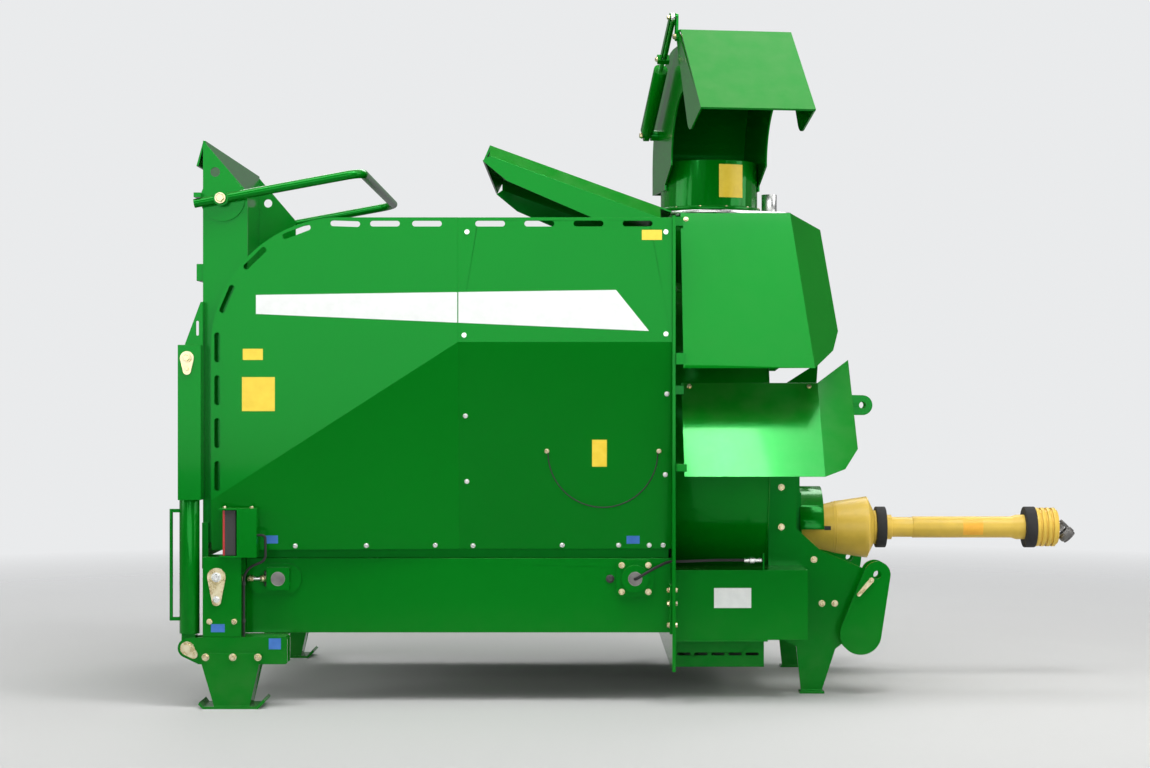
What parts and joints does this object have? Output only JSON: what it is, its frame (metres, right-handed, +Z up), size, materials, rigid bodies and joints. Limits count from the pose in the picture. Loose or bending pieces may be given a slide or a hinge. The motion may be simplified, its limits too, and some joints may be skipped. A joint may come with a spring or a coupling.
{
  "type": "bale processor",
  "caption": "Tractor mounted bale processor with a bale bed, swing-down tailgate, shredding rotor, fan and a slewing blower chute with a flap.",
  "frame": {"origin": "centre of the bounding box at the ground", "axes": "+X toward the tractor, +Y to the machine's left, +Z up"},
  "size_m": [3.328, 1.7, 2.4723],
  "materials": {
    "green_paint": "gloss enamel",
    "yellow_plastic": "moulded",
    "black_rubber": "matt",
    "zinc_plate": "yellow zinc plate",
    "ground_rod": "ground",
    "red_lens": "moulded",
    "black_plastic": "moulded",
    "worn_steel": "worn"
  },
  "bodies": {
    "root": {"wall_rear_right": "green_paint", "wall_rear_left": "green_paint", "wall_front_right": "green_paint", "wall_front_left": "green_paint", "bed_rails": "green_paint", "cross_members": "green_paint", "bed_floor": "green_paint", "floor_chain": "worn_steel", "conveyor_shafts": "worn_steel", "drive_bearings": "green_paint", "lamp_cables": "black_rubber", "grease_line": "black_rubber", "chain_tensioners": "green_paint", "conveyor_motor": "black_plastic", "rear_posts": "green_paint", "tailgate_pins": "zinc_plate", "rear_feet": "green_paint", "ram_lower_pins": "zinc_plate", "lamp_boxes": "green_paint", "rear_lamps": "black_plastic", "lamp_lenses": "red_lens", "bulkhead": "green_paint", "rotor_cheeks": "green_paint", "fan_drum": "green_paint", "outlet_neck": "green_paint", "turntable": "zinc_plate", "slew_motor": "zinc_plate", "rotor_hood": "green_paint", "upper_guards": "green_paint", "lower_guards": "green_paint", "front_rails": "green_paint", "front_cross_tube": "green_paint", "fan_tray": "green_paint", "hitch_plates": "green_paint", "hitch_lobes": "green_paint", "hitch_latches": "zinc_plate", "headstock": "green_paint", "gearbox": "green_paint", "pto_shield": "green_paint", "pto_bell_guard": "yellow_plastic", "pto_guard_tube": "yellow_plastic", "pto_rings": "black_rubber", "pto_ribbed_collar": "yellow_plastic"},
    "tailgate": {"tailgate_panel": "green_paint", "tailgate_side_right": "green_paint", "tailgate_side_left": "green_paint", "ram_channels": "green_paint", "ram_upper_pins": "zinc_plate"},
    "bale_hoop": {"bale_hoop": "green_paint"},
    "ram_barrels": {"ram_barrels": "green_paint"},
    "ram_rods": {"ram_rods": "ground_rod"},
    "chute": {"chute_neck": "green_paint", "chute_spout": "green_paint"},
    "flap": {"chute_flap": "green_paint"},
    "flap_barrel": {"flap_barrel": "green_paint"},
    "flap_rod": {"flap_rod": "ground_rod"},
    "drive_shaft": {"pto_shaft": "worn_steel"},
    "end_yoke": {"pto_yoke": "worn_steel"},
    "rotor": {"rotor": "worn_steel"},
    "fan": {"fan": "worn_steel"}
  },
  "joints": [
    {"name": "tailgate_swing", "type": "hinge", "parent": "root", "child": "tailgate", "pos_m": [-1.493, 0, 0.455], "axis": [0, -1, 0], "range_deg": [0, 90]},
    {"name": "hoop_lift", "type": "hinge", "parent": "tailgate", "child": "bale_hoop", "pos_m": [-1.485, 0, 1.777], "axis": [0, -1, 0], "range_deg": [0, 75]},
    {"name": "ram_tilt", "type": "hinge", "parent": "root", "child": "ram_barrels", "pos_m": [-1.594, 0, 0.208], "axis": [0, -1, 0], "range_deg": [0, 78]},
    {"name": "ram_stroke", "type": "slide", "parent": "ram_barrels", "child": "ram_rods", "axis": [0, 0, 1], "range_m": [-0.335, 0]},
    {"name": "chute_slew", "type": "hinge", "parent": "root", "child": "chute", "pos_m": [0.266, 0, 1.78], "axis": [0, 0, 1], "range_deg": [-240, 50]},
    {"name": "flap_tilt", "type": "hinge", "parent": "chute", "child": "flap", "pos_m": [0.32857, -0.39508, 2.3883], "axis": [-0.9877, -0.1564, 0], "range_deg": [-25, 35]},
    {"name": "flap_ram_tilt", "type": "hinge", "parent": "chute", "child": "flap_barrel", "pos_m": [0.02813, 0.06357, 2.0843], "axis": [-0.9877, -0.1564, 0], "range_deg": [-2, 3]},
    {"name": "flap_ram_stroke", "type": "slide", "parent": "flap_barrel", "child": "flap_rod", "axis": [0.126, -0.7952, 0.5931], "range_m": [-0.034, 0.025]},
    {"name": "drive_shaft_spin", "type": "hinge", "parent": "root", "child": "drive_shaft", "pos_m": [0.645, 0, 0.581], "axis": [1, 0, 0], "continuous": true},
    {"name": "yoke_tilt", "type": "hinge", "parent": "drive_shaft", "child": "end_yoke", "pos_m": [1.604, 0, 0.581], "axis": [0, -1, 0], "range_deg": [0, 95]},
    {"name": "rotor_spin", "type": "hinge", "parent": "root", "child": "rotor", "pos_m": [-0.152, 0, 0.915], "axis": [0, 1, 0], "continuous": true},
    {"name": "fan_spin", "type": "hinge", "parent": "root", "child": "fan", "pos_m": [0.2, 0, 0.93], "axis": [1, 0, 0], "continuous": true}
  ],
  "couplings": [
    {"joint": "ram_tilt", "follows": "tailgate_swing", "ratio": 0.86161},
    {"joint": "ram_stroke", "follows": "tailgate_swing", "m_per_rad": -0.2114},
    {"joint": "flap_ram_tilt", "follows": "flap_tilt", "ratio": 0.060959},
    {"joint": "flap_ram_stroke", "follows": "flap_tilt", "m_per_rad": -0.053156}
  ]
}
